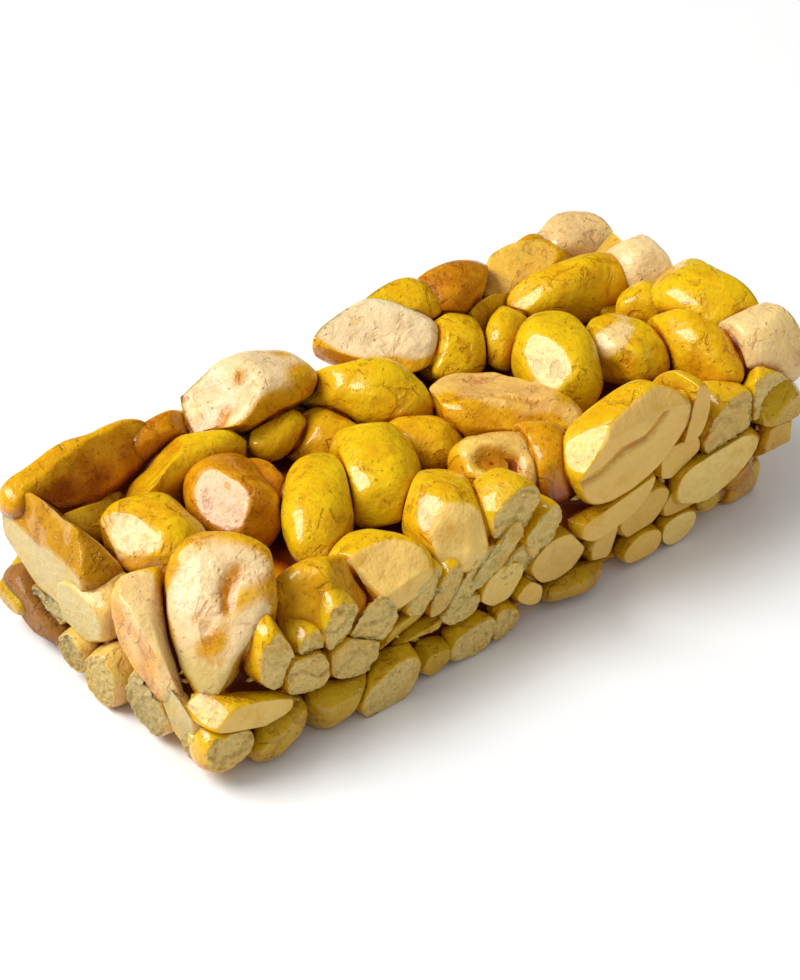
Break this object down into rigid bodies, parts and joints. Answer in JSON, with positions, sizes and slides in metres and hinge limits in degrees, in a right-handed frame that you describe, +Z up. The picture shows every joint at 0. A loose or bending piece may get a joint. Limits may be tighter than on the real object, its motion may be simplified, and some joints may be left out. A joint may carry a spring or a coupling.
{
  "type": "peanut brittle bar",
  "caption": "Knife-cut rectangular bar of peanut kernels set in golden caramel, lying flat, with bulging glazed kernels on top and sliced kernels in the sides.",
  "frame": {"origin": "middle of the bar's flat underside", "axes": "+X along the bar, -X is the left end in the picture, -Y is the long cut side that faces the viewer, +Z up out of the glazed top"},
  "size_m": [0.084, 0.039, 0.0223],
  "materials": {
    "brittle": "sticky gloss over pale cut nut"
  },
  "bodies": {
    "root": {"brittle_bar": "brittle"}
  },
  "joints": []
}
